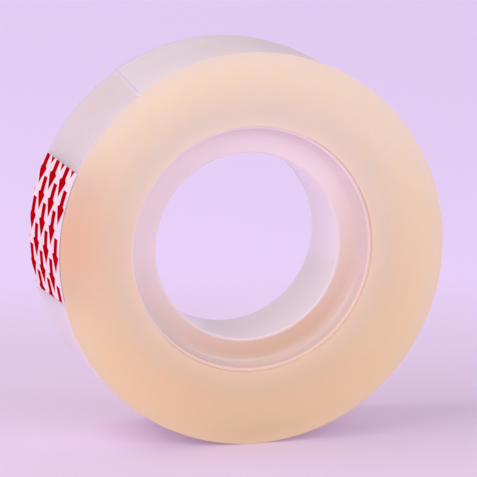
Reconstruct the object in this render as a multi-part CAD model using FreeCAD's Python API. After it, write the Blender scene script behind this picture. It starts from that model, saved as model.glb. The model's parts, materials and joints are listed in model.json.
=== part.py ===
import FreeCAD, Part
import os
from math import cos, pi, radians, sin
from FreeCAD import Vector

# A roll of clear film tape that stands on its rim. The bore runs along Y, the front side face is at -Y,
# +X is to the right and +Z is up. The origin is the middle of the bore. Lengths are in millimetres, angles in
# degrees, measured about the bore from +X towards +Z.

# wound strip
roll_radius = 26.6
tape_width = 19.0
film_thickness = 0.05

# core
bore_radius = 12.7
core_wall = 4.05
core_setback = 0.7
recess_depth = 2.3
lip_thickness = 0.45
recess_fillet = 0.9
bore_edge_radius = 0.25
lip_edge_radius = 0.15

# loose end of the strip: its crease, the clear stretch after it, and the starter tab stuck over its cut edge
crease_angle = 125.0
clear_length = 13.8
tab_length = 18.4
tab_thickness = 0.08
tab_margin = 0.1
lap_length = 1.4

# clearances of the loose end in its seat
lift_gap = 0.06
flush_gap = 0.01
crease_slot = 0.12
tab_slot = 0.25

# The core fills the wound ring, a little inside each of its faces, and the bore runs between the recesses.
core_radius = bore_radius + core_wall
core_width = tape_width - 2 * core_setback
bore_length = core_width - 2 * recess_depth
recess_radius = core_radius - lip_thickness

# The strip is thinner under the loose end, by the end's own thickness.
seat_radius = roll_radius - flush_gap - film_thickness - tab_thickness - lift_gap
film_inner_radius = seat_radius + lift_gap
film_outer_radius = film_inner_radius + film_thickness
tab_outer_radius = film_outer_radius + tab_thickness
tab_width = tape_width - 2 * tab_margin


def turn(length):
    """The angle that a length of strip covers on the roll."""
    return length / roll_radius * 180.0 / pi


def at(radius, angle, y=0.0):
    return Vector(radius * cos(radians(angle)), y, radius * sin(radians(angle)))


def arc(radius, start, finish, y):
    return Part.Arc(at(radius, start, y), at(radius, (start + finish) / 2, y), at(radius, finish, y)).toShape()


def band(inner, outer, start, finish, width):
    """A stretch of ring between two radii and two angles, centred on the middle of the roll."""
    y = -width / 2
    edges = [
        arc(inner, start, finish, y),
        Part.makeLine(at(inner, finish, y), at(outer, finish, y)),
        arc(outer, start, finish, y),
        Part.makeLine(at(outer, start, y), at(inner, start, y)),
    ]
    return Part.Face(Part.Wire(Part.sortEdges(edges)[0])).extrude(Vector(0, width, 0))


def disc(radius, width):
    return Part.makeCylinder(radius, width, Vector(0, -width / 2, 0), Vector(0, 1, 0))


def rims(shape, radius, side):
    """The circles of a shape with one radius, at one distance from the middle on both sides."""
    found = []
    for edge in shape.Edges:
        curve = edge.Curve
        if not isinstance(curve, Part.Circle):
            continue
        if abs(curve.Radius - radius) < 1e-6 and abs(abs(curve.Center.y) - side) < 1e-6:
            found.append(edge)
    return found


def make_core():
    ring = disc(core_radius, core_width).cut(disc(bore_radius, core_width))
    for y in (-core_width / 2, bore_length / 2):
        ring = ring.cut(Part.makeCylinder(recess_radius, recess_depth, Vector(0, y, 0), Vector(0, 1, 0)))
    ring = ring.makeFillet(recess_fillet, rims(ring, recess_radius, bore_length / 2))
    ring = ring.makeFillet(bore_edge_radius, rims(ring, bore_radius, bore_length / 2))
    return ring.makeFillet(lip_edge_radius, rims(ring, recess_radius, core_width / 2))


def make_wound_tape():
    ring = disc(roll_radius, tape_width).cut(disc(core_radius, tape_width))
    start = crease_angle - turn(crease_slot)
    finish = crease_angle + turn(clear_length + tab_length + tab_slot)
    return ring.cut(band(seat_radius, roll_radius + 1, start, finish, tape_width + 2))


def make_tape_end():
    finish = crease_angle + turn(clear_length + lap_length)
    return band(film_inner_radius, film_outer_radius, crease_angle, finish, tape_width)


def make_starter_tab():
    start = crease_angle + turn(clear_length)
    return band(film_outer_radius, tab_outer_radius, start, start + turn(tab_length), tab_width)


os.makedirs("parts", exist_ok=True)
pieces = {
    "core": make_core(),
    "wound_tape": make_wound_tape(),
    "tape_end": make_tape_end(),
    "starter_tab": make_starter_tab(),
}
for name, shape in pieces.items():
    shape.exportStep("parts/" + name + ".step")
    print(name, "volume", round(shape.Volume, 1), "cubic millimetres")
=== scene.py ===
import json
from functools import partial
from math import asin, atan2, cos, hypot, pi, radians, sin
import bpy
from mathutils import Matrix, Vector


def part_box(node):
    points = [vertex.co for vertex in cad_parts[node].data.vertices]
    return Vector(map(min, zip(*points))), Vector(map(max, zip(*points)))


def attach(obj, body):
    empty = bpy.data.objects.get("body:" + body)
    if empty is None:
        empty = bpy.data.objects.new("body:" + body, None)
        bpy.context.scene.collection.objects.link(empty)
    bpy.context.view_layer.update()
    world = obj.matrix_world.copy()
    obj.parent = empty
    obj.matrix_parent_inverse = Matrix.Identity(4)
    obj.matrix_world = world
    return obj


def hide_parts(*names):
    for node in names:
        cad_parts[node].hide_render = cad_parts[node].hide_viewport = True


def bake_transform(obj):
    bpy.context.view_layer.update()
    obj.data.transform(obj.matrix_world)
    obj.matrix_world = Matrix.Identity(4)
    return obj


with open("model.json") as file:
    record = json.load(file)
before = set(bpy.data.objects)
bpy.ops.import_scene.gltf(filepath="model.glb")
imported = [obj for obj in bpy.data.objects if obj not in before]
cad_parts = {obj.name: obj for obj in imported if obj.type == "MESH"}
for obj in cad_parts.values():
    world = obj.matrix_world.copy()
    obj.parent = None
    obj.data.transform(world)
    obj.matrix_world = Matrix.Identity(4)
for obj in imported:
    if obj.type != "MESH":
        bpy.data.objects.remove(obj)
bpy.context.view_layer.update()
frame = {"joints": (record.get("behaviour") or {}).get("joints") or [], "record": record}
mm = 0.001

# Sizes and places from the frame. Angles run about the bore, from +X towards +Z.
tapeLow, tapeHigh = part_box("wound_tape")
coreLow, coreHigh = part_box("core")
tabLow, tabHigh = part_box("starter_tab")
hinge = Vector(frame["joints"][0]["pos_m"])
boreMount = [mount for mount in frame["record"]["mounts"] if mount["kind"] == "bore"][0]

rollRadius = tapeHigh.z
tapeWidth = tapeHigh.y - tapeLow.y
coreRadius = coreHigh.z
coreWidth = coreHigh.y - coreLow.y
boreRadius = boreMount["dims"]["r_mm"] * mm
filmRadius = hypot(hinge.x, hinge.z)
creaseAngle = atan2(hinge.z, hinge.x)
tabRadius = -tabLow.x
tabWidth = tabHigh.y - tabLow.y
tabStart = pi - asin(tabHigh.z / tabRadius)
tabFinish = pi - asin(tabLow.z / tabRadius)
print("frame read: roll", round(rollRadius * 2 / mm, 1), "mm across,", round(tapeWidth / mm, 1), "mm wide")


def fromHex(text):
    channels = [int(text[i:i + 2], 16) / 255 for i in (0, 2, 4)]
    return tuple(c / 12.92 if c < 0.04045 else ((c + 0.055) / 1.055) ** 2.4 for c in channels) + (1.0,)


def grey(level):
    return (level, level, level, 1.0)


def onRoll(radius, angle, y):
    return Vector((radius * cos(angle), y, radius * sin(angle)))


def addNode(tree, kind, wires=None, **settings):
    node = tree.nodes.new(kind)
    for name, value in settings.items():
        setattr(node, name, value)
    for key, value in (wires or {}).items():
        if isinstance(value, bpy.types.NodeSocket):
            tree.links.new(value, node.inputs[key])
        else:
            node.inputs[key].default_value = value
    return node


def maths(tree, operation, *values):
    kind = "ShaderNodeMath"
    return addNode(tree, kind, dict(enumerate(values)), operation=operation).outputs[0]


def axesOf(tree, place):
    return list(addNode(tree, "ShaderNodeSeparateXYZ", {0: place}).outputs)


def pointOf(tree, x, y=0.0, z=0.0):
    return addNode(tree, "ShaderNodeCombineXYZ", {0: x, 1: y, 2: z}).outputs[0]


def lengthOf(tree, vector):
    return addNode(tree, "ShaderNodeVectorMath", {0: vector}, operation="LENGTH").outputs["Value"]


def noiseOf(tree, place, scale, detail):
    wires = {"Vector": place, "Scale": scale, "Detail": detail}
    return addNode(tree, "ShaderNodeTexNoise", wires).outputs[0]


def mixOf(tree, amount, first, second):
    wires = {0: amount, "A": first, "B": second}
    return addNode(tree, "ShaderNodeMix", wires, data_type="RGBA").outputs["Result"]


def rampOf(tree, factor, stops):
    ramp = addNode(tree, "ShaderNodeValToRGB", {0: factor})
    for place, colour in stops[1:-1]:
        ramp.color_ramp.elements.new(place).color = colour
    ramp.color_ramp.elements[0].position, ramp.color_ramp.elements[0].color = stops[0]
    ramp.color_ramp.elements[-1].position, ramp.color_ramp.elements[-1].color = stops[-1]
    return ramp.outputs["Color"]


def addBump(tree, shader, height, strength, relief):
    wires = {"Height": height, "Strength": strength, "Distance": relief}
    tree.links.new(addNode(tree, "ShaderNodeBump", wires).outputs[0], shader.inputs["Normal"])


def startMaterial(name, roughness):
    material = bpy.data.materials.new(name)
    material.use_nodes = True
    tree = material.node_tree
    shader = tree.nodes["Principled BSDF"]
    shader.inputs["Roughness"].default_value = roughness
    place = addNode(tree, "ShaderNodeTexCoord").outputs["Object"]
    return material, tree, shader, place


def polarOf(tree, place):
    x, y, z = axesOf(tree, place)
    angle = maths(tree, "ARCTAN2", z, x)
    return lengthOf(tree, pointOf(tree, x, 0.0, z)), angle, y


# Studio: a wide pale floor, soft lights and a long lens from the front left.
studioLook = {
    "nearRollShade": fromHex("dccbdb"),
    "farColour": fromHex("eedeff"),
    "farReach": 120 * mm,
    "floorSize": 8.0,
    "floorGap": 0.02 * mm,
    "floorRoughness": 0.9,
    "glow": 0.15,
    "lightColour": fromHex("fff3ff"),
    "skyStrength": 0.49,
    "lights": {  # heading from the front, height in degrees, power
        "keyLight": (-60, 25, 1.53),
        "fillLight": (20, 25, 1.33),
        "highLight": (-100, 55, 1.35),
        "backLight": (170, 25, 0.37),
    },
    "lightSize": 0.5,
    "lightDistance": 0.8,
    "camera": {"turn": -15.0, "tilt": 10.45, "distance": 0.5, "seenWidth": 65 * mm},
    "aim": Vector((0.5, 0, -0.15)) * mm,
}


def makeFloor(look):
    half, level = look["floorSize"] / 2, tapeLow.z - look["floorGap"]
    corners = [(-half, -half, level), (half, -half, level), (half, half, level), (-half, half, level)]
    mesh = bpy.data.meshes.new("floor")
    mesh.from_pydata(corners, [], [(0, 1, 2, 3)])
    floor = bpy.data.objects.new("floor", mesh)
    bpy.context.scene.collection.objects.link(floor)
    material, tree, shader, place = startMaterial("palePaper", look["floorRoughness"])
    # Painted shade: the floor is painted darker and pinker near the roll, fading out to the plain far
    # colour over farReach.
    grade = maths(tree, "DIVIDE", lengthOf(tree, place), look["farReach"])
    colour = rampOf(tree, grade, [(0.0, look["nearRollShade"]), (1.0, look["farColour"])])
    tree.links.new(colour, shader.inputs["Base Color"])
    tree.links.new(colour, shader.inputs["Emission Color"])
    shader.inputs["Emission Strength"].default_value = look["glow"]
    mesh.materials.append(material)
    return floor


def headingOf(turn, tilt):
    level = cos(radians(tilt))
    return Vector((sin(radians(turn)) * level, -cos(radians(turn)) * level, sin(radians(tilt))))


def addSoftbox(name, turn, tilt, power, look):
    light = bpy.data.lights.new(name, "AREA")
    light.shape = "DISK"
    light.size = look["lightSize"]
    light.energy = power
    light.color = look["lightColour"][:3]
    box = bpy.data.objects.new(name, light)
    box.location = headingOf(turn, tilt) * look["lightDistance"]
    box.rotation_euler = (-box.location).to_track_quat("-Z", "Y").to_euler()
    box.visible_glossy = name != "backLight"  # no glare along the film
    bpy.context.scene.collection.objects.link(box)


def addSky(colour, strength):
    world = bpy.data.worlds.new("softSky")
    world.use_nodes = True
    backdrop = world.node_tree.nodes["Background"]
    backdrop.inputs["Color"].default_value = colour
    backdrop.inputs["Strength"].default_value = strength
    bpy.context.scene.world = world


def addCamera(turn, tilt, distance, seenWidth, aim):
    camera = bpy.data.objects.new("camera", bpy.data.cameras.new("camera"))
    away = headingOf(turn, tilt)
    camera.location = aim + away * distance
    camera.rotation_euler = (-away).to_track_quat("-Z", "Y").to_euler()
    camera.data.lens = camera.data.sensor_width * distance / seenWidth
    camera.data.clip_start = 0.01
    bpy.context.scene.collection.objects.link(camera)
    bpy.context.scene.camera = camera


makeFloor(studioLook)
addSky(studioLook["lightColour"], studioLook["skyStrength"])
for name, (turn, tilt, power) in studioLook["lights"].items():
    addSoftbox(name, turn, tilt, power, studioLook)
addCamera(aim=studioLook["aim"], **studioLook["camera"])
bpy.context.scene.view_settings.view_transform = "Standard"
print("studio ready")


# Pieces are plain meshes with their place in their points.
def makePiece(name, points, faces, materials, sharpAngle=35):
    mesh = bpy.data.meshes.new(name)
    mesh.from_pydata(points, [], faces)
    piece = bpy.data.objects.new(name, mesh)
    bpy.context.scene.collection.objects.link(piece)
    for material in materials:
        mesh.materials.append(material)
    finishMesh(mesh, sharpAngle)
    return piece


def finishMesh(mesh, sharpAngle=35):
    volume = 0.0
    mesh.calc_loop_triangles()
    for triangle in mesh.loop_triangles:
        a, b, c = (mesh.vertices[i].co for i in triangle.vertices)
        volume += a.dot(b.cross(c))
    if volume < 0:  # faces point outwards
        mesh.flip_normals()
    mesh.shade_smooth()
    mesh.set_sharp_from_angle(angle=radians(sharpAngle))


def makeTree(name, sockets):
    tree = bpy.data.node_groups.new(name, "GeometryNodeTree")
    tree.interface.new_socket("Geometry", in_out="INPUT", socket_type="NodeSocketGeometry")
    for label, kind in sockets.items():
        tree.interface.new_socket(label, in_out="INPUT", socket_type="NodeSocket" + kind)
    tree.interface.new_socket("Geometry", in_out="OUTPUT", socket_type="NodeSocketGeometry")
    return tree, addNode(tree, "NodeGroupInput").outputs


def placesOf(tree):
    return axesOf(tree, addNode(tree, "GeometryNodeInputPosition").outputs[0])


def moveTo(tree, geometry, place):
    return addNode(tree, "GeometryNodeSetPosition", {"Geometry": geometry, "Position": place}).outputs[0]


def weldPoints(tree, geometry, distance):
    wires = {"Geometry": geometry, "Distance": distance}
    return addNode(tree, "GeometryNodeMergeByDistance", wires).outputs[0]


def endTree(tree, geometry):
    addNode(tree, "NodeGroupOutput", {0: geometry})


def runTree(name, tree, values):
    piece = bpy.data.objects.new(name, bpy.data.meshes.new(name))
    bpy.context.scene.collection.objects.link(piece)
    modifier = piece.modifiers.new("build", "NODES")
    modifier.node_group = tree
    for item in tree.interface.items_tree:
        if item.in_out == "INPUT" and item.name in values:
            modifier[item.identifier] = values[item.name]
    bpy.context.view_layer.update()
    evaluated = piece.evaluated_get(bpy.context.evaluated_depsgraph_get())
    built = bpy.data.meshes.new_from_object(evaluated)
    piece.modifiers.remove(modifier)
    piece.data = built
    finishMesh(built)
    return piece


# The wound strip: side faces of fine rings, the wall of the last turn, and the lower seat
# for its loose end.
tabSkew = radians(2.4)
creaseSkew = radians(-3.1)
gapPastTab = 0.25 * mm
gapBeforeCrease = 0.35 * mm
weld = 0.001 * mm
glowTint = (1.0, 0.85, 0.6)
woundLook = {
    "Inner Radius": coreRadius,
    "Outer Radius": rollRadius,
    "Seat Drop": 0.18 * mm,
    "Width": tapeWidth,
    "Chamfer": 0.03 * mm,
    "Turn Start": tabFinish + gapPastTab / rollRadius - 2 * pi,
    "Start Skew": tabSkew,
    "Turn Finish": creaseAngle - gapBeforeCrease / rollRadius,
    "Finish Skew": creaseSkew,
    "Turns": 100,
    "Columns": 232,
    "Seat Columns": 56,
    "Wall Rows": 6,
    "Band Depth": 0.035 * mm,
    "Turn Depth": 0.012 * mm,
    "Seed": 4.0,
}
edgeLook = {
    "pale": fromHex("f6e7c7"),
    "deep": fromHex("f2d5a6"),
    "lowShade": 0.35,
    "mottle": 0.15,
    "cloudScale": 60.0,
    "ringScale": 900.0,
    "turnScale": 9000.0,
    "turnBump": 0.15,
    "turnRelief": 0.02 * mm,
    "paintedTabGlow": fromHex("f5c99e"),
    "paintedTabGlowReach": 7.5 * mm,
    "paintedTabGlowShape": (1.0, 0.0, 0.8),
    "roughness": 0.45,
    "glowDepth": 8 * mm,
    "coreFade": 3 * mm,
    "rimFade": 2 * mm,
}
skinLook = {
    "pale": fromHex("fceeec"),
    "deep": fromHex("f8e8e4"),
    "foldShade": fromHex("e2d8ee"),
    "foldShadeWidth": 0.2 * mm,
    "roughness": 0.35,
    "glowDepth": 8 * mm,
    "streakRound": 1.5,
    "streakAcross": 700.0,
    "streakBump": 0.1,
    "streakRelief": 0.05 * mm,
    "coat": 0.25,
    "coatRoughness": 0.2,
}
insideLook = {
    "pale": fromHex("fbe6c2"),
    "deep": fromHex("f6dcb2"),
    "cloudScale": 80.0,
    "roughness": 0.6,
}


def makeEdgeMaterial(look):
    material, tree, shader, place = startMaterial("turnEdges", look["roughness"])
    m = partial(maths, tree)
    radius = polarOf(tree, place)[0]

    # Painted shade: the adhesive's tone is painted deeper low on the roll, where less light reaches the
    # face; slow clouds and fine rings vary it at random.
    height = axesOf(tree, place)[2]
    depth = m("MULTIPLY_ADD", height, -look["lowShade"] / rollRadius, look["lowShade"])
    rings = noiseOf(tree, pointOf(tree, m("MULTIPLY", radius, look["ringScale"])), 1.0, 3.0)
    clouds = noiseOf(tree, place, look["cloudScale"], 2.0)
    tone = m("ADD", depth, m("MULTIPLY", m("ADD", rings, clouds), look["mottle"]))
    colour = rampOf(tree, tone, [(0.3, look["pale"]), (0.9, look["deep"])])

    # Painted light: the turns beside the tab are painted orange, standing in for light tinted by the red
    # print.
    middle = onRoll(rollRadius, (tabStart + tabFinish) / 2, 0)
    away = addNode(tree, "ShaderNodeVectorMath", {0: place, 1: middle}, operation="SUBTRACT").outputs[0]
    flat = addNode(tree, "ShaderNodeVectorMath", {0: away, 1: look["paintedTabGlowShape"]}, operation="MULTIPLY")
    reach = m("DIVIDE", lengthOf(tree, flat.outputs[0]), look["paintedTabGlowReach"])
    tabGlowMask = m("EXPONENT", m("MULTIPLY", m("POWER", reach, 2.0), -1.0))
    tree.links.new(mixOf(tree, tabGlowMask, colour, look["paintedTabGlow"]), shader.inputs["Base Color"])

    # Light seeps through the pack, but not out past the core or the rim, or from under the tab.
    fromCore = m("DIVIDE", m("SUBTRACT", radius, coreRadius), look["coreFade"])
    fromRim = m("DIVIDE", m("SUBTRACT", rollRadius, radius), look["rimFade"])
    seep = m("MINIMUM", m("MAXIMUM", m("MINIMUM", fromCore, fromRim), 0.0), 1.0)
    glow = m("MULTIPLY", seep, m("SUBTRACT", 1.0, tabGlowMask))
    tree.links.new(glow, shader.inputs["Subsurface Weight"])
    shader.inputs["Subsurface Scale"].default_value = look["glowDepth"]
    shader.inputs["Subsurface Radius"].default_value = glowTint
    turns = noiseOf(tree, pointOf(tree, m("MULTIPLY", radius, look["turnScale"])), 1.0, 1.0)
    addBump(tree, shader, turns, look["turnBump"], look["turnRelief"])
    return material


def makeSkinMaterial(look):
    material, tree, shader, place = startMaterial("filmSkin", look["roughness"])
    m = partial(maths, tree)
    angle, across = polarOf(tree, place)[1:]
    stretched = pointOf(tree, m("MULTIPLY", angle, look["streakRound"]),
                        m("MULTIPLY", across, look["streakAcross"]))
    streaks = noiseOf(tree, stretched, 1.0, 4.0)
    colour = rampOf(tree, streaks, [(0.3, look["pale"]), (0.7, look["deep"])])

    # Painted shade: a narrow darker lavender line is painted on the strip at its cut end by the fold,
    # standing in for the shadowed gap at the crease.
    end = m("MULTIPLY_ADD", across, creaseSkew / tapeWidth, woundLook["Turn Finish"])
    before = m("MULTIPLY", m("SUBTRACT", end, angle), rollRadius)
    isFoldShade = m("MULTIPLY", m("GREATER_THAN", before, 0.0), m("LESS_THAN", before, look["foldShadeWidth"]))
    tree.links.new(mixOf(tree, isFoldShade, colour, look["foldShade"]), shader.inputs["Base Color"])
    shader.inputs["Subsurface Weight"].default_value = 1.0
    shader.inputs["Subsurface Scale"].default_value = look["glowDepth"]
    shader.inputs["Subsurface Radius"].default_value = glowTint
    shader.inputs["Coat Weight"].default_value = look["coat"]
    shader.inputs["Coat Roughness"].default_value = look["coatRoughness"]
    addBump(tree, shader, streaks, look["streakBump"], look["streakRelief"])
    return material


def makeInsideMaterial(look):
    material, tree, shader, place = startMaterial("firstTurn", look["roughness"])
    clouds = noiseOf(tree, place, look["cloudScale"], 2.0)
    colour = rampOf(tree, clouds, [(0.3, look["pale"]), (0.7, look["deep"])])
    tree.links.new(colour, shader.inputs["Base Color"])
    return material


edgeMaterial = makeEdgeMaterial(edgeLook)
skinMaterial = makeSkinMaterial(skinLook)
insideMaterial = makeInsideMaterial(insideLook)


def makeWoundTree(edge, wall, inside):
    kinds = {name: "Int" if isinstance(value, int) else "Float" for name, value in woundLook.items()}
    tree, given = makeTree("woundTurns", kinds)
    m = partial(maths, tree)
    turns, wallRows, width, chamfer = (given[n] for n in ("Turns", "Wall Rows", "Width", "Chamfer"))
    backRow = m("ADD", m("ADD", turns, wallRows), 2.0)
    rows = m("ADD", m("ADD", backRow, turns), 1.0)
    columns = m("ADD", m("ADD", given["Columns"], given["Seat Columns"]), 3.0)
    grid = addNode(tree, "GeometryNodeMeshGrid", {"Vertices X": columns, "Vertices Y": rows}).outputs[0]
    index = addNode(tree, "GeometryNodeInputIndex").outputs[0]
    column = m("FLOOR", m("DIVIDE", index, rows))
    row = m("SUBTRACT", index, m("MULTIPLY", column, rows))

    # Across: rows run out on the front face, back along the wall, in on the back face
    # and close on the first.
    half = m("MULTIPLY", width, 0.5)
    wallHalf = m("SUBTRACT", half, chamfer)
    span = m("DIVIDE", m("MULTIPLY", wallHalf, 2.0), m("SUBTRACT", wallRows, 1.0))
    wallRow = m("SUBTRACT", m("SUBTRACT", row, turns), 1.0)
    across = m("MULTIPLY_ADD", wallRow, span, m("MULTIPLY", wallHalf, -1.0))
    across = m("MAXIMUM", m("MINIMUM", across, half), m("MULTIPLY", half, -1.0))
    isLast = m("COMPARE", row, m("SUBTRACT", rows, 1.0), 0.1)
    across = m("SUBTRACT", across, m("MULTIPLY", isLast, width))

    # Round: columns of the last turn, then columns of the seat. Both ends of the turn are cut askew.
    slant = m("DIVIDE", across, width)
    first = m("MULTIPLY_ADD", slant, given["Start Skew"], given["Turn Start"])
    second = m("MULTIPLY_ADD", slant, given["Finish Skew"], given["Turn Finish"])
    alongTurn = m("MINIMUM", m("DIVIDE", column, given["Columns"]), 1.0)
    seatColumn = m("SUBTRACT", m("SUBTRACT", column, given["Columns"]), 1.0)
    alongSeat = m("MINIMUM", m("MAXIMUM", m("DIVIDE", seatColumn, given["Seat Columns"]), 0.0), 1.0)
    turnSpan = m("SUBTRACT", second, first)
    angle = m("MULTIPLY_ADD", alongTurn, turnSpan, first)
    angle = m("MULTIPLY_ADD", alongSeat, m("SUBTRACT", 2 * pi, turnSpan), angle)
    pastTurn = m("GREATER_THAN", column, m("ADD", given["Columns"], 0.5))
    beforeEnd = m("LESS_THAN", column, m("SUBTRACT", columns, 1.5))
    isSeat = m("MULTIPLY", pastTurn, beforeEnd)

    # Out: even strides up to the seat's rim, then the rim and the wall of whichever part it is.
    seatRim = m("SUBTRACT", m("SUBTRACT", given["Outer Radius"], given["Seat Drop"]), chamfer)
    stride = m("DIVIDE", m("SUBTRACT", seatRim, given["Inner Radius"]), m("SUBTRACT", turns, 1.0))
    frontSteps = m("MAXIMUM", m("SUBTRACT", m("SUBTRACT", turns, 1.0), row), 0.0)
    backSteps = m("MAXIMUM", m("SUBTRACT", row, backRow), 0.0)
    steps = m("MINIMUM", m("ADD", frontSteps, backSteps), m("SUBTRACT", turns, 1.0))
    radius = m("SUBTRACT", seatRim, m("MULTIPLY", steps, stride))
    isRim = m("MULTIPLY", m("GREATER_THAN", row, m("SUBTRACT", turns, 0.5)),
              m("LESS_THAN", row, m("SUBTRACT", backRow, 0.5)))
    isWall = m("MULTIPLY", m("GREATER_THAN", row, m("ADD", turns, 0.5)),
               m("LESS_THAN", row, m("SUBTRACT", backRow, 1.5)))
    rise = m("MULTIPLY", m("SUBTRACT", 1.0, isSeat), given["Seat Drop"])
    radius = m("MULTIPLY_ADD", isRim, rise, radius)
    radius = m("MULTIPLY_ADD", isWall, chamfer, radius)

    # Turns stand a little in from the face, in slow bands and one by one.
    bandScale, bandSway = 700.0, 25.0
    turnScale, turnSway = 9000.0, 12.0
    side = m("SIGN", across)
    x = m("MULTIPLY", radius, m("COSINE", angle))
    z = m("MULTIPLY", radius, m("SINE", angle))
    slow = pointOf(tree, m("MULTIPLY", radius, bandScale), m("MULTIPLY_ADD", x, bandSway, given["Seed"]),
                   m("MULTIPLY_ADD", z, bandSway, side))
    quick = pointOf(tree, m("MULTIPLY", radius, turnScale), m("MULTIPLY_ADD", x, turnSway, side),
                    m("MULTIPLY_ADD", z, turnSway, given["Seed"]))
    bands = m("MULTIPLY", noiseOf(tree, slow, 1.0, 2.0), given["Band Depth"])
    single = m("MULTIPLY", noiseOf(tree, quick, 1.0, 0.0), given["Turn Depth"])
    onFace = m("GREATER_THAN", m("ABSOLUTE", across), m("MULTIPLY_ADD", chamfer, -0.5, half))
    inset = m("MULTIPLY", m("MULTIPLY", m("ADD", bands, single), onFace), side)
    shaped = moveTo(tree, grid, pointOf(tree, x, m("SUBTRACT", across, inset), z))
    closed = weldPoints(tree, shaped, weld)

    # Each face's material: side faces, the first turn against the core, and the wall.
    leastFacing, firstTurn = 0.6, 0.1 * mm
    facing = m("ABSOLUTE", axesOf(tree, addNode(tree, "GeometryNodeInputNormal").outputs[0])[1])
    isEdge = addNode(tree, "FunctionNodeCompare", {0: facing, 1: leastFacing}, operation="GREATER_THAN")
    at = placesOf(tree)
    out = m("SQRT", m("ADD", m("POWER", at[0], 2.0), m("POWER", at[2], 2.0)))
    inner = m("ADD", given["Inner Radius"], firstTurn)
    isInside = addNode(tree, "FunctionNodeCompare", {0: out, 1: inner}, operation="LESS_THAN")
    faced = addNode(tree, "GeometryNodeSetMaterial", {"Geometry": closed, "Material": wall})
    for chosen, material in ((isInside, inside), (isEdge, edge)):
        faced = addNode(tree, "GeometryNodeSetMaterial", {
            "Geometry": faced.outputs[0], "Selection": chosen.outputs[0], "Material": material})
    endTree(tree, addNode(tree, "GeometryNodeRealizeInstances", {0: faced.outputs[0]}).outputs[0])
    return tree


woundTape = runTree("woundTurns", makeWoundTree(edgeMaterial, skinMaterial, insideMaterial), woundLook)
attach(woundTape, "roll")
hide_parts("wound_tape")
print("wound turns:", len(woundTape.data.polygons), "faces")


# A stretch of film round the roll, as a closed shell. Skews turn an end edge away from square.
def makeBand(name, look, material):
    columns, rows = look["columns"], look["rows"]
    points = []
    for layer in (look["inner"], look["outer"]):
        for i in range(columns + 1):
            for j in range(rows + 1):
                across = j / rows - 0.5
                first = look["start"] + look.get("startSkew", 0.0) * across
                last = look["finish"] + look.get("finishSkew", 0.0) * across
                angle = first + (last - first) * i / columns
                lift = look["lift"](angle, across) if "lift" in look else 0.0
                points.append(onRoll(layer + lift, angle, across * look["width"]))
    stride, layerSize = rows + 1, (columns + 1) * (rows + 1)
    faces = []
    for i in range(columns):
        for j in range(rows):
            a = i * stride + j
            faces.append((a, a + 1, a + 1 + stride, a + stride))
            faces.append(tuple(layerSize + k for k in (a, a + stride, a + 1 + stride, a + 1)))
    rim = [i * stride for i in range(columns + 1)] + [columns * stride + j for j in range(1, rows + 1)]
    rim += [i * stride + rows for i in range(columns - 1, -1, -1)] + list(range(rows - 1, 0, -1))
    for a, b in zip(rim, rim[1:] + rim[:1]):
        faces.append((a, b, b + layerSize, a + layerSize))
    return makePiece(name, points, faces, [material])


# Loose end: clear film from the fold to just under the tab.
halfFilm = 0.025 * mm
underTab = 1.4 * mm
creaseLook = {
    "ridge": 0.05 * mm,
    "ridgeWidth": 0.6 * mm,
}
filmLook = {
    "tint": fromHex("f4ece8"),
    "shade": fromHex("ece2dc"),
    "cloudScale": 300.0,
    "cover": 0.12,
    "roughness": 0.12,
}


def makeFilmMaterial(look):
    material, tree, shader, place = startMaterial("clearFilm", look["roughness"])
    clouds = noiseOf(tree, place, look["cloudScale"], 3.0)
    colour = rampOf(tree, clouds, [(0.3, look["tint"]), (0.8, look["shade"])])
    tree.links.new(colour, shader.inputs["Base Color"])
    shader.inputs["Alpha"].default_value = look["cover"]
    return material


def creaseLift(angle, across):
    past = (angle - creaseAngle - creaseSkew * across) * rollRadius
    return creaseLook["ridge"] * max(0.0, 1 - past / creaseLook["ridgeWidth"]) ** 2


tapeEndLook = {
    "inner": filmRadius - halfFilm,
    "outer": filmRadius + halfFilm,
    "start": creaseAngle,
    "finish": tabStart + underTab / rollRadius,
    "startSkew": creaseSkew,
    "width": tapeWidth,
    "columns": 90,
    "rows": 12,
    "lift": creaseLift,
}
tapeEnd = makeBand("tapeEnd", tapeEndLook, makeFilmMaterial(filmLook))
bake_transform(tapeEnd)
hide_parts("tape_end")
print("loose end:", len(tapeEnd.data.polygons), "faces")


# Starter tab: white printed film stuck over the cut end.
tabLook = {
    "inner": filmRadius + halfFilm,
    "outer": tabRadius,
    "start": tabStart,
    "finish": tabFinish,
    "finishSkew": tabSkew,
    "width": tabWidth,
    "columns": 60,
    "rows": 12,
}
tabPaint = {
    "white": fromHex("fcf0f2"),
    "shade": fromHex("f8eaec"),
    "ink": fromHex("c8000c"),
    "inkDeep": fromHex("b00010"),
    "cloudScale": 400.0,
    "roughness": 0.5,
    "gloss": 0.1,
    "inkGloss": 0.0,
}


def makeTabMaterial(name, pale, deep, gloss):
    material, tree, shader, place = startMaterial(name, tabPaint["roughness"])
    clouds = noiseOf(tree, place, tabPaint["cloudScale"], 4.0)
    tree.links.new(rampOf(tree, clouds, [(0.35, pale), (0.7, deep)]), shader.inputs["Base Color"])
    shader.inputs["Specular IOR Level"].default_value = gloss
    return material


whiteFilm = makeTabMaterial("whiteFilm", tabPaint["white"], tabPaint["shade"], tabPaint["gloss"])
starterTab = makeBand("starterTab", tabLook, whiteFilm)
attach(starterTab, "loose_end")
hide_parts("starter_tab")

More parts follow.
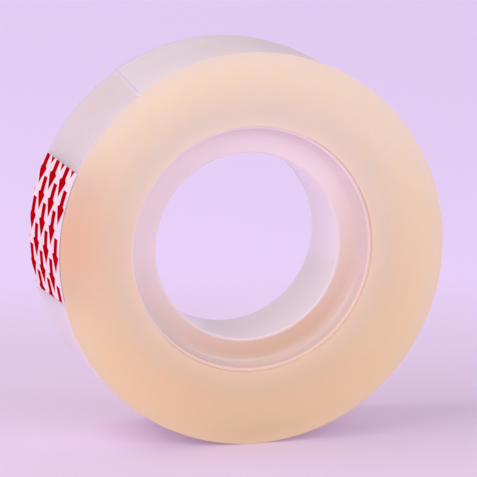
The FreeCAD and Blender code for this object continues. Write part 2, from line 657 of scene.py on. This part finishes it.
# Rows of arrows that point to the tab's free end. Every other row is half a pitch on.
inkGap = 0.002 * mm
arrowLook = {
    "Radius": tabRadius + inkGap,
    "Ink": 0.006 * mm,
    "Tab Start": tabStart,
    "Tab Length": (tabFinish - tabStart) * rollRadius,
    "Finish Skew": tabSkew * rollRadius,
    "Tab Width": tabWidth,
    "Length": 4.7 * mm,
    "Shaft Half": 1.02 * mm,
    "Head Half": 1.95 * mm,
    "Pitch": 6.5 * mm,
    "Row Pitch": 3.05 * mm,
    "Row Shift": 1.9 * mm,
    "First Tip": 4.3 * mm,
    "Rows": 7,
    "Per Row": 5,
}


def makeArrowTree(ink):
    kinds = {name: "Int" if isinstance(value, int) else "Float" for name, value in arrowLook.items()}
    tree, given = makeTree("printedArrows", kinds)
    m = partial(maths, tree)

    # One arrow, flat: stations from tail to tip, and the head is its second half.
    stations = 17
    headFrom = (stations / 2 - 1) / (stations - 1)
    strip = {"Size X": 1.0, "Size Y": 2.0, "Vertices X": stations, "Vertices Y": 3}
    arrow = addNode(tree, "GeometryNodeMeshGrid", strip).outputs[0]
    x, y = placesOf(tree)[:2]
    along = m("ADD", x, 0.5)
    head = m("MULTIPLY", m("SUBTRACT", 1.0, along), m("MULTIPLY", given["Head Half"], 2.0))
    widths = {0: m("GREATER_THAN", along, headFrom), 2: given["Shaft Half"], 3: head}
    half = addNode(tree, "ShaderNodeMix", widths, data_type="FLOAT").outputs[0]
    behindTip = m("MULTIPLY", m("SUBTRACT", along, 1.0), given["Length"])
    arrow = moveTo(tree, arrow, pointOf(tree, behindTip, m("MULTIPLY", y, half)))

    # Its places: columns along the tab, rows across it.
    counts = {"Vertices X": given["Per Row"], "Vertices Y": given["Rows"]}
    spots = addNode(tree, "GeometryNodeMeshGrid", counts).outputs[0]
    index = addNode(tree, "GeometryNodeInputIndex").outputs[0]
    column = m("FLOOR", m("DIVIDE", index, given["Rows"]))
    row = m("SUBTRACT", index, m("MULTIPLY", column, given["Rows"]))
    middle = m("MULTIPLY", m("SUBTRACT", given["Rows"], 1.0), 0.5)
    fromMiddle = m("SUBTRACT", row, middle)
    isOdd = m("MODULO", m("ABSOLUTE", fromMiddle), 2.0)
    steps = m("MULTIPLY_ADD", isOdd, -0.5, column)
    tip = m("MULTIPLY_ADD", steps, given["Pitch"], given["First Tip"])
    rowPlace = m("MULTIPLY_ADD", fromMiddle, given["Row Pitch"], given["Row Shift"])
    spots = moveTo(tree, spots, pointOf(tree, tip, rowPlace))
    marks = addNode(tree, "GeometryNodeInstanceOnPoints", {"Points": spots, "Instance": arrow}).outputs[0]
    marks = addNode(tree, "GeometryNodeRealizeInstances", {0: marks}).outputs[0]

    # Trimmed at the tab's edges, and what is left of an arrow outside them is taken away.
    x, y = placesOf(tree)[:2]
    halfWidth = m("MULTIPLY", given["Tab Width"], 0.5)
    across = m("MAXIMUM", m("MINIMUM", y, halfWidth), m("MULTIPLY", halfWidth, -1.0))
    slant = m("MULTIPLY", m("DIVIDE", across, given["Tab Width"]), given["Finish Skew"])
    along = m("MAXIMUM", m("MINIMUM", x, m("ADD", given["Tab Length"], slant)), 0.0)
    marks = moveTo(tree, marks, pointOf(tree, along, across))
    leastFace = (0.05 * mm) ** 2
    area = addNode(tree, "GeometryNodeInputMeshFaceArea").outputs[0]
    isEmpty = addNode(tree, "FunctionNodeCompare", {0: area, 1: leastFace}, operation="LESS_THAN")
    chosen = {"Geometry": marks, "Selection": isEmpty.outputs[0]}
    marks = addNode(tree, "GeometryNodeDeleteGeometry", chosen, domain="FACE").outputs[0]
    marks = weldPoints(tree, marks, weld)

    # Laid round the tab and given the ink's thickness.
    x, y = placesOf(tree)[:2]
    angle = m("ADD", given["Tab Start"], m("DIVIDE", x, rollRadius))
    wrapped = pointOf(tree, m("MULTIPLY", given["Radius"], m("COSINE", angle)), y,
                      m("MULTIPLY", given["Radius"], m("SINE", angle)))
    marks = moveTo(tree, marks, wrapped)
    raised = {"Mesh": marks, "Offset Scale": given["Ink"], "Individual": False}
    top = addNode(tree, "GeometryNodeExtrudeMesh", raised).outputs[0]
    under = addNode(tree, "GeometryNodeFlipFaces", {0: marks}).outputs[0]
    join = addNode(tree, "GeometryNodeJoinGeometry")
    tree.links.new(top, join.inputs[0])
    tree.links.new(under, join.inputs[0])
    solid = weldPoints(tree, join.outputs[0], weld / 2)
    inked = addNode(tree, "GeometryNodeSetMaterial", {"Geometry": solid, "Material": ink}).outputs[0]
    endTree(tree, addNode(tree, "GeometryNodeRealizeInstances", {0: inked}).outputs[0])
    return tree


redInk = makeTabMaterial("redInk", tabPaint["ink"], tabPaint["inkDeep"], tabPaint["inkGloss"])
arrowPrint = runTree("arrowPrint", makeArrowTree(redInk), arrowLook)
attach(arrowPrint, "loose_end")
print("starter tab:", len(arrowPrint.data.polygons), "faces of print")


# Core: milky moulded plastic, turned from a rounded outline.
coreLook = {
    "recessDepth": 2.3 * mm,
    "lip": 0.45 * mm,
    "recessFillet": 0.9 * mm,
    "boreEdge": 0.25 * mm,
    "lipEdge": 0.15 * mm,
    "outerEdge": 0.01 * mm,
    "clearance": 0.02 * mm,
    "columns": 256,
    "colour": fromHex("fff4ee"),
    "cloud": fromHex("fdf1e9"),
    "cloudScale": 90.0,
    "roughness": 0.2,
    "through": fromHex("e9caa4"),
    "bore": fromHex("fff8f6"),
    "boreCover": 1.0,
    "recessCover": 0.93,
    "lipCover": 1.0,
    "wallCover": 0.0,
    "shadedSide": radians(-69),
    "shadedSwing": 0.74,
    "shadedBase": 0.24,
}


def roundedOutline(corners, steps=6):
    outline = []
    for i, (x, y, radius) in enumerate(corners):
        corner = Vector((x, y))
        before = (Vector(corners[i - 1][:2]) - corner).normalized()
        after = (Vector(corners[(i + 1) % len(corners)][:2]) - corner).normalized()
        centre = corner + (before + after) * radius
        for step in range(steps + 1):
            turn = step / steps * pi / 2
            outline.append(centre - after * radius * cos(turn) - before * radius * sin(turn))
    return outline


def makeCoreMaterial(look):
    material, tree, shader, place = startMaterial("milkyPlastic", look["roughness"])
    clouds = noiseOf(tree, place, look["cloudScale"], 3.0)
    colour = rampOf(tree, clouds, [(0.3, look["colour"]), (0.75, look["cloud"])])
    m = partial(maths, tree)
    radius, angle, across = polarOf(tree, place)
    outward = m("DIVIDE", m("SUBTRACT", radius, boreRadius), coreRadius - boreRadius)

    # Painted see-through and painted shade: the recess is painted towards the adhesive's darker cream,
    # most of all low on the right, standing in for the tape seen through the frosted plastic and the shade
    # in the recess.
    turned = m("COSINE", m("SUBTRACT", angle, look["shadedSide"]))
    recessShadeLevel = m("MULTIPLY_ADD", turned, look["shadedSwing"], look["shadedBase"])
    recessShadeMask = rampOf(tree, outward, [(0.02, grey(0.0)), (0.12, grey(0.9)),
                                      (0.5, grey(1.0)), (0.86, grey(0.45))])
    recessShade = m("MULTIPLY", m("MAXIMUM", recessShadeLevel, 0.0), recessShadeMask)
    tone = mixOf(tree, recessShade, colour, look["through"])
    # Painted light: the bore's wall is painted paler than the rest of the core, standing in for light
    # coming through the frosted plastic.
    paintedBoreLight = rampOf(tree, outward, [(0.005, grey(1.0)), (0.03, grey(0.0))])
    tree.links.new(mixOf(tree, paintedBoreLight, tone, look["bore"]), shader.inputs["Base Color"])

    # Frosted all over, and clear only where the wall lies against the first turn.
    body = rampOf(tree, outward, [(0.005, grey(look["boreCover"])), (0.02, grey(look["recessCover"])),
                                  (0.9, grey(look["recessCover"])), (0.98, grey(look["wallCover"]))])
    outside = m("SUBTRACT", m("ABSOLUTE", across), coreWidth / 2 - look["lipEdge"])
    isLip = m("MINIMUM", m("MAXIMUM", m("DIVIDE", outside, look["lipEdge"]), 0.0), 1.0)
    tree.links.new(mixOf(tree, isLip, body, grey(look["lipCover"])), shader.inputs["Alpha"])
    return material


def makeCore(look):
    wall, half = coreRadius - look["clearance"], coreWidth / 2
    recess, floor = coreRadius - look["lip"], coreWidth / 2 - look["recessDepth"]
    corners = [
        (wall, half, look["outerEdge"]),
        (wall, -half, look["outerEdge"]),
        (recess, -half, look["lipEdge"]),
        (recess, -floor, look["recessFillet"]),
        (boreRadius, -floor, look["boreEdge"]),
        (boreRadius, floor, look["boreEdge"]),
        (recess, floor, look["recessFillet"]),
        (recess, half, look["lipEdge"]),
    ]
    outline = roundedOutline(corners)
    count, columns = len(outline), look["columns"]
    points = [onRoll(radius, i / columns * 2 * pi, y) for i in range(columns) for radius, y in outline]
    faces = []
    for i in range(columns):
        for j in range(count):
            a, b = i * count, (i + 1) % columns * count
            k = (j + 1) % count
            faces.append((a + j, a + k, b + k, b + j))
    return makePiece("coreRing", points, faces, [makeCoreMaterial(look)])


core = makeCore(coreLook)
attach(core, "roll")
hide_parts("core")
print("core:", len(core.data.polygons), "faces")

bpy.context.view_layer.update()
